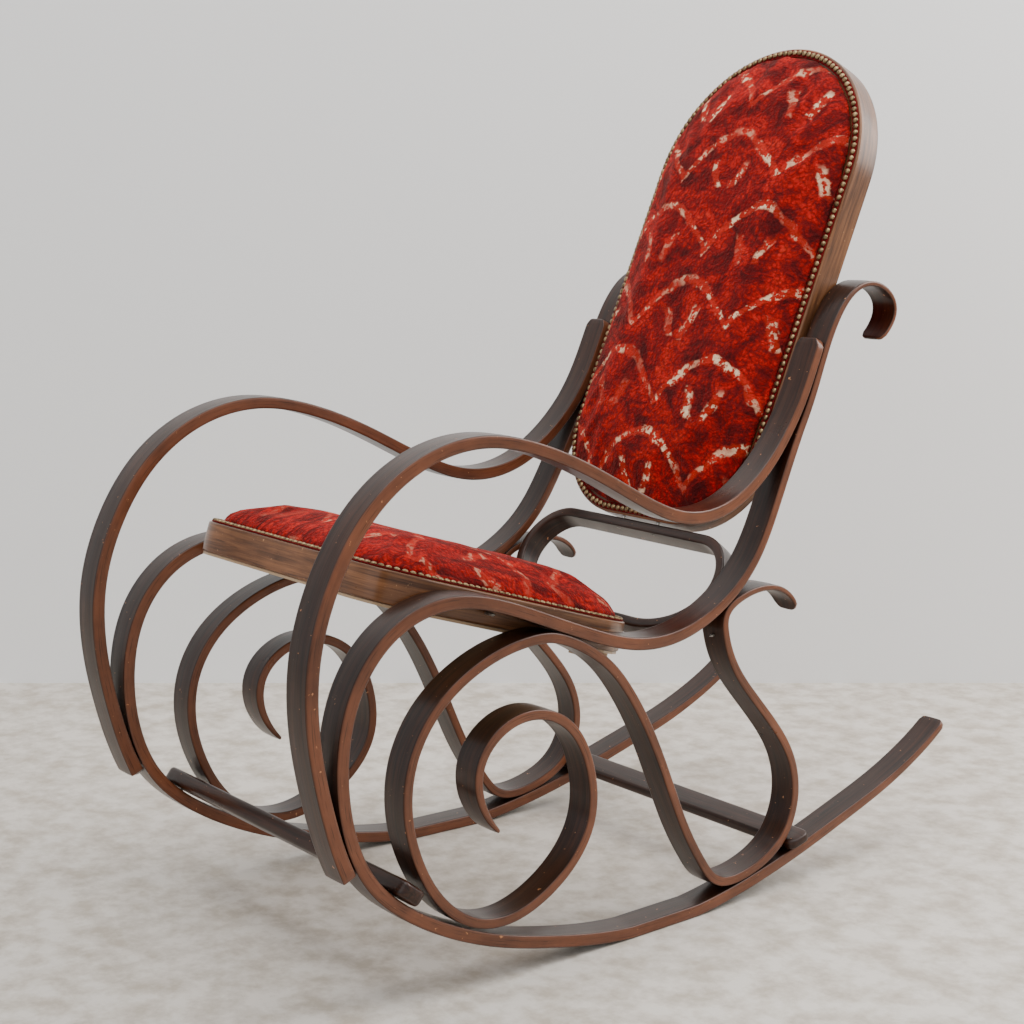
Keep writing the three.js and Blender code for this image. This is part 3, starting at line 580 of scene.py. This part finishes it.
def velvet_cloth(name, wide, tall, cream_share, streaked):
    material, tree, skin = nodes_of(name)
    cloth = add(tree, "ShaderNodeAttribute", attribute_name="cloth").outputs["Vector"]
    wander = add(tree, "ShaderNodeTexNoise", {"Vector": cloth, "Scale": 30, "Detail": 4})
    centred = add(tree, "ShaderNodeVectorMath",
                  {0: wander.outputs["Color"], 1: (0.5, 0.5, 0.5)}, operation="SUBTRACT")
    small = add(tree, "ShaderNodeVectorMath", {0: centred.outputs[0], "Scale": 0.022},
                operation="SCALE")
    moved = add(tree, "ShaderNodeVectorMath", {0: cloth, 1: small.outputs[0]},
                operation="ADD").outputs[0]
    parts = add(tree, "ShaderNodeSeparateXYZ", {0: moved})
    x, y = parts.outputs[0], sums(tree, "ADD", parts.outputs[1], 1.0)
    line, pair = arches(tree, x, y, wide, tall)
    stretch = (60, 14, 14) if streaked else (26, 26, 26)
    patch_at = add(tree, "ShaderNodeMapping", {"Vector": cloth, "Scale": stretch}).outputs[0]
    patches = grown(tree, patch_at, 1, 8, 0.7, 0.8)
    flecks = grown(tree, cloth, 210, 4, 0.7)
    knots = add(tree, "ShaderNodeTexVoronoi", {"Vector": moved, "Scale": 210})
    knots = knots.outputs["Distance"]
    colour = ramp(tree, patches, [(0.38, (0.045, 0.0005, 0.001)), (0.47, (0.2, 0.002, 0.002)),
                                  (0.58, (0.48, 0.006, 0.004)), (0.8, (0.68, 0.04, 0.015))])
    between = ramp(tree, knots, [(0.3, 0.0), (0.75, 0.65)])
    colour = mix(tree, between, colour, (0.06, 0.001, 0.002))
    fleck_share = ramp(tree, flecks, [(0.38, 0.55), (0.5, 0.0)])
    colour = mix(tree, fleck_share, colour, (0.09, 0.002, 0.003))
    worn_through = ramp(tree, grown(tree, cloth, 95, 3, 0.6), [(0.52, 0.0), (0.57, 1.0)])
    faded = ramp(tree, grown(tree, cloth, 13, 3, 0.6), [(0.42, 0.1), (0.58, 1.0)])
    halo = sums(tree, "MULTIPLY", sums(tree, "MAXIMUM", line, pair), 0.4)
    colour = mix(tree, halo, colour, (0.62, 0.03, 0.012))
    shown = sums(tree, "MULTIPLY", sums(tree, "MAXIMUM", line, pair), worn_through)
    shown = sums(tree, "MULTIPLY", sums(tree, "MULTIPLY", shown, faded), cream_share)
    colour = mix(tree, shown, colour, (0.85, 0.6, 0.38))
    tree.links.new(colour, skin.inputs["Base Color"])
    skin.inputs["Roughness"].default_value = 0.85
    skin.inputs["Specular IOR Level"].default_value = 0.15
    skin.inputs["Sheen Weight"].default_value = 0.12
    skin.inputs["Sheen Roughness"].default_value = 0.35
    skin.inputs["Sheen Tint"].default_value = (1, 0.3, 0.2, 1)
    weave = sums(tree, "ADD", grown(tree, cloth, 480, 3, 0.6), sums(tree, "MULTIPLY", flecks, 1.5))
    weave = sums(tree, "SUBTRACT", weave, sums(tree, "MULTIPLY", knots, 1.2))
    bump = add(tree, "ShaderNodeBump", {"Strength": 0.7, "Distance": 0.0016, "Height": weave})
    tree.links.new(bump.outputs[0], skin.inputs["Normal"])
    return material


ARCH_WIDE, ARCH_TALL = 0.165, 0.1
back_velvet = velvet_cloth("crimson_velvet", ARCH_WIDE, ARCH_TALL, 0.95, False)
seat_velvet = velvet_cloth("crimson_seat_velvet", ARCH_WIDE, ARCH_TALL, 0.4, True)
print("velvet:", back_velvet.name, seat_velvet.name)

# %% [markdown]
# A cushion is stuffed: its cloth is pulled over the padding and nailed down all round. It starts
# as the plain crowned shape. Gentle air pressure then swells the cloth between its nailed edges,
# and a little wandering of the surface keeps it from looking machine-made.

# %% Cushions
SEAT_PAD_MIDDLE = 223
BACK_PAD_MIDDLE = 320
PAD_DROP = 0.14
PAD_GRID = 0.005
PRESSURE = 4
SWELL_FRAMES = 20
SWELL_LIMIT = 0.005
HELD_BELOW = 3


def swollen(piece, frame_plane, pinned_below):
    """Runs the cloth simulation on a cushion, with its underside held where it is."""
    pins = piece.vertex_groups.new(name="held")
    inverse = frame_plane.inverted()
    low = [v.index for v in piece.data.vertices if (inverse @ (v.co * 1000)).z < pinned_below]
    pins.add(low, 1.0, "REPLACE")
    start = [v.co.copy() for v in piece.data.vertices]
    cloth = piece.modifiers.new("swell", "CLOTH")
    cloth.settings.vertex_group_mass = "held"
    cloth.settings.use_pressure = True
    cloth.settings.uniform_pressure_force = PRESSURE
    cloth.settings.effector_weights.gravity = 0
    cloth.settings.quality = 5
    for frame_number in range(1, SWELL_FRAMES + 1):
        bpy.context.scene.frame_set(frame_number)
    shaped = piece.evaluated_get(bpy.context.evaluated_depsgraph_get())
    ends = [v.co.copy() for v in shaped.data.vertices]
    piece.modifiers.remove(cloth)
    bpy.context.scene.frame_set(1)
    most = 0.0
    for v, before, after in zip(piece.data.vertices, start, ends):
        step = after - before
        step *= min(1, SWELL_LIMIT / step.length) if step.length > 0 else 1
        v.co = before + step
        most = max(most, step.length)
    print(piece.name, "swelled by up to", round(most * 1000, 1), "mm")


def cushion(name, node, others, frame_plane, material, middle):
    """The CAD cushion, a little lower, evened, swelled and given its cloth places."""
    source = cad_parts[node]
    bm = bmesh.new()
    bm.from_mesh(source.data)
    bmesh.ops.remove_doubles(bm, verts=bm.verts, dist=1e-5)
    inverse, turn = frame_plane.inverted(), frame_plane.to_3x3()
    for v in bm.verts:
        spot = inverse @ (v.co * 1000)
        if spot.z > 2:
            spot.z = 1 + (spot.z - 1) * (1 - PAD_DROP)
        v.co = (frame_plane @ spot) / 1000
    bmesh.ops.recalc_face_normals(bm, faces=bm.faces)
    piece = finished(bm, name, [node, *others], material)
    remesh = piece.modifiers.new("even", "REMESH")
    remesh.mode, remesh.voxel_size = "VOXEL", PAD_GRID
    evened = piece.evaluated_get(bpy.context.evaluated_depsgraph_get())
    mesh = bpy.data.meshes.new_from_object(evened)
    piece.modifiers.remove(remesh)
    piece.data = mesh
    swollen(piece, frame_plane, HELD_BELOW)
    bm = bmesh.new()
    bm.from_mesh(piece.data)
    bmesh.ops.smooth_vert(bm, verts=bm.verts, factor=0.5, use_axis_x=True, use_axis_y=True,
                          use_axis_z=True)
    cloth = bm.verts.layers.float_vector.new("cloth")
    up = turn @ Vector((0, 0, 1))
    for v in bm.verts:
        spot = inverse @ (v.co * 1000)
        long_waves = noise.noise(Vector((spot.x, spot.y, 0)) / 55)
        short_waves = noise.noise(Vector((spot.x, spot.y, 9)) / 24)
        waves = long_waves + 0.5 * short_waves
        if spot.z > 6:
            v.co += up * waves * min(1, (spot.z - 6) / 14) * 0.0016
        v[cloth] = Vector((spot.x, spot.y - middle, spot.z)) / 1000
    for face in bm.faces:
        face.smooth = True
    bm.to_mesh(piece.data)
    bm.free()
    print(name, len(piece.data.polygons), "faces")


cushion("seat_velvet_cushion", "seat_cushion", ["seat_padding"], seat_plane, seat_velvet,
        SEAT_PAD_MIDDLE)
cushion("back_velvet_cushion", "back_cushion", ["back_padding"], back_plane, back_velvet,
        BACK_PAD_MIDDLE)


# %% [markdown]
# The back's rear is closed with the same velvet, drawn tight and slightly full. It is a fan of
# rings from the hoop's inner wall to the middle, with a flat rear face towards the board.

# %% Velvet over the rear of the back
REAR_SHARES = (1, 0.97, 0.9, 0.78, 0.62, 0.44, 0.26, 0.1)
REAR_FACE, REAR_RIM = -30, -33
REAR_FULLNESS = 3.2
REAR_GAP = 0.5
REAR_STEP = 9


def rear_velvet():
    ring, _ = even_ring(back_outline(WALL + REAR_GAP), REAR_STEP)
    rim = [Vector((x, along)) for x, along, *_ in ring]
    middle = Vector((0, BACK_PAD_MIDDLE))
    bm = bmesh.new()
    bmesh.ops.create_circle(bm, segments=len(rim), radius=1, cap_ends=True)
    for v, place in zip(bm.verts, rim):
        v.co = (place.x, place.y, REAR_FACE)
    face = bm.faces[:][0]
    last = 1
    for share in REAR_SHARES:
        new = bmesh.ops.extrude_face_region(bm, geom=[face])["geom"]
        face = next(g for g in new if isinstance(g, bmesh.types.BMFace))
        low = REAR_RIM - REAR_FULLNESS * (1 - share ** 3)
        for v, place in zip(face.verts, [v.co.copy() for v in face.verts]):
            from_middle = Vector((place.x, place.y)) - middle
            flat = middle + from_middle * share / last
            v.co = (flat.x, flat.y, low)
        last = share
    cloth = bm.verts.layers.float_vector.new("cloth")
    for v in bm.verts:
        v[cloth] = Vector((v.co.x, v.co.y - BACK_PAD_MIDDLE, v.co.z)) / 1000
        v.co = (back_plane @ v.co) / 1000
    bmesh.ops.recalc_face_normals(bm, faces=bm.faces)
    return finished(bm, "rear_velvet_panel", ["back_rear_panel"], back_velvet)


rear_velvet()

# %% [markdown]
# A close row of domed nails runs all round each cushion, through a narrow braid. A dome is a
# small sphere, flattened, and each is set a little out of line.

# %% Nails and braid
def metal(name, colour, rough):
    material, tree, skin = nodes_of(name)
    place = add(tree, "ShaderNodeTexCoord").outputs["Object"]
    tarnish = grown(tree, place, 130, 4, 0.6)
    dark = tuple(c * 0.3 for c in colour)
    tree.links.new(ramp(tree, tarnish, [(0.35, dark), (0.6, colour)]), skin.inputs["Base Color"])
    skin.inputs["Metallic"].default_value = 1.0
    skin.inputs["Roughness"].default_value = rough
    return material


bronze = metal("antique_bronze", (0.36, 0.25, 0.13), 0.38)
steel = metal("screw_steel", (0.5, 0.48, 0.45), 0.4)
braid_cloth = velvet_cloth("maroon_braid", ARCH_WIDE, ARCH_TALL, 0.0, False)
NAIL_INSET, NAIL_PITCH, NAIL_RADIUS = 7.5, 8.6, 3.9
NAIL_LIFT, NAIL_FLATTENED = 2.4, 0.62
BRAID_INSET, BRAID_WIDTH, BRAID_DEPTH = 3, 10, 1.6
BRAID_LOW, BRAID_EDGE = 0.35, 0.6


def nail_row(name, node, outline, frame_plane):
    ring, _ = even_ring(outline(NAIL_INSET), NAIL_PITCH)
    bm = bmesh.new()
    for i, (x, along, nx, ny, _) in enumerate(ring):
        wander = noise.noise(Vector((i * 0.7, NAIL_INSET, 0))) * 0.5
        new = bmesh.ops.create_uvsphere(bm, u_segments=10, v_segments=6, radius=NAIL_RADIUS)
        centre = Vector((x + nx * wander, along + ny * wander, NAIL_LIFT))
        for v in new["verts"]:
            v.co.z = max(v.co.z, -0.3 * NAIL_RADIUS) * NAIL_FLATTENED
            v.co = (frame_plane @ (centre + v.co)) / 1000
    print(name, len(ring), "nails")
    return finished(bm, name, [node], bronze)


for word, outline, frame_plane in (("seat", seat_outline, seat_plane),
                                   ("back", back_outline, back_plane)):
    nail_row(f"{word}_nails", f"{word}_nail_strip", outline, frame_plane)
    hoop(f"{word}_braid", lambda inset, o=outline: o(inset + BRAID_INSET), frame_plane,
         BRAID_WIDTH, BRAID_DEPTH, BRAID_LOW, BRAID_EDGE, [], braid_cloth)

# %% [markdown]
# The boards, blocks and screws keep their own shapes and get real finishes.

# %% Finishes of the inner pieces
def dressed(node, material):
    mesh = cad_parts[node].data
    mesh.materials.clear()
    mesh.materials.append(material)


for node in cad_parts:
    if node.endswith("_screw"):
        dressed(node, steel)
    elif node.endswith(("_board", "_panel", "_block")) and "rear_panel" not in node:
        dressed(node, plain_wood)
        print(node, "in plain wood")

# %% [markdown]
# The room is plain: a pale stone-coloured floor and an off-white wall behind, lit softly from the
# right and from above. The wall shows from its front only, so views from behind pass through it.

# %% Floor, wall and light
def plain_plane(name, size, matrix, material):
    bm = bmesh.new()
    bmesh.ops.create_grid(bm, x_segments=1, y_segments=1, size=size / 2)
    mesh = bpy.data.meshes.new(name)
    bm.transform(matrix)
    bm.to_mesh(mesh)
    bm.free()
    mesh.materials.append(material)
    plane_object = bpy.data.objects.new(name, mesh)
    bpy.context.collection.objects.link(plane_object)


floor_paint, tree, skin = nodes_of("pale_stone_floor")
place = add(tree, "ShaderNodeTexCoord").outputs["Object"]
speckle = grown(tree, place, 22, 6, 0.65)
tree.links.new(ramp(tree, speckle, [(0.36, (0.46, 0.4, 0.33)), (0.6, (0.68, 0.63, 0.57))]),
               skin.inputs["Base Color"])
skin.inputs["Roughness"].default_value = 0.7

wall_paint, tree, skin = nodes_of("off_white_wall")
skin.inputs["Base Color"].default_value = (0.86, 0.86, 0.86, 1)
skin.inputs["Roughness"].default_value = 0.95
behind = add(tree, "ShaderNodeNewGeometry").outputs["Backfacing"]
clear = add(tree, "ShaderNodeBsdfTransparent")
either = add(tree, "ShaderNodeMixShader", {0: behind, 1: skin.outputs[0], 2: clear.outputs[0]})
tree.links.new(either.outputs[0], tree.nodes["Material Output"].inputs["Surface"])

CAMERA_PLACE = Vector((1.7974, -1.4607, 0.8508))
VIEW_TURN = math.radians(52)
WALL_DISTANCE = 3.227
ROOM_SIZE = 14
away = Vector((-math.sin(VIEW_TURN), math.cos(VIEW_TURN), 0))
wall_middle = Vector((CAMERA_PLACE.x, CAMERA_PLACE.y, 0)) + away * WALL_DISTANCE
wall_turn = Matrix.Rotation(VIEW_TURN, 4, "Z") @ Matrix.Rotation(math.radians(90), 4, "X")
plain_plane("floor", ROOM_SIZE, Matrix.Identity(4), floor_paint)
plain_plane("wall", ROOM_SIZE, Matrix.Translation(wall_middle) @ wall_turn, wall_paint)


def area_light(name, place, target, size, power, colour):
    data = bpy.data.lights.new(name, "AREA")
    data.shape, data.size, data.energy, data.color = "DISK", size, power, colour
    lamp = bpy.data.objects.new(name, data)
    bpy.context.collection.objects.link(lamp)
    lamp.location = place
    lamp.rotation_euler = (Vector(target) - Vector(place)).to_track_quat("-Z", "Y").to_euler()
    print(name, "light,", power, "W")


side = Vector((math.cos(VIEW_TURN), math.sin(VIEW_TURN), 0))
chair_middle = (0, 0, 0.5)
window_place = side * 1.9 + away * 0.3 + Vector((0, 0, 1.7))
ceiling_place = Vector((0, 0, 2.9)) - away * 0.4
fill_place = side * -1.6 - away * 2.0 + Vector((0, 0, 1.8))
area_light("window", window_place, chair_middle, 1.6, 48, (1, 0.98, 0.95))
area_light("ceiling", ceiling_place, (0, 0, 0), 2.4, 50, (1, 0.99, 0.97))
area_light("fill", fill_place, chair_middle, 2.4, 12, (0.96, 0.98, 1))

world = bpy.data.worlds.new("soft_room")
bpy.context.scene.world = world
world.use_nodes = True
sky = world.node_tree.nodes["Background"]
sky.inputs["Color"].default_value = (0.93, 0.94, 0.95, 1)
sky.inputs["Strength"].default_value = 0.9

# %% [markdown]
# The camera stands in front of the chair and to its left, a little under its top, with a long
# lens.

# %% The camera
camera_data = bpy.data.cameras.new("camera")
camera_data.lens = 68.4
camera_data.sensor_width = 36
camera = bpy.data.objects.new("camera", camera_data)
bpy.context.collection.objects.link(camera)
camera.location = CAMERA_PLACE
camera.rotation_euler = (math.radians(80.251), 0, VIEW_TURN)
bpy.context.scene.camera = camera
print("camera at", tuple(CAMERA_PLACE))
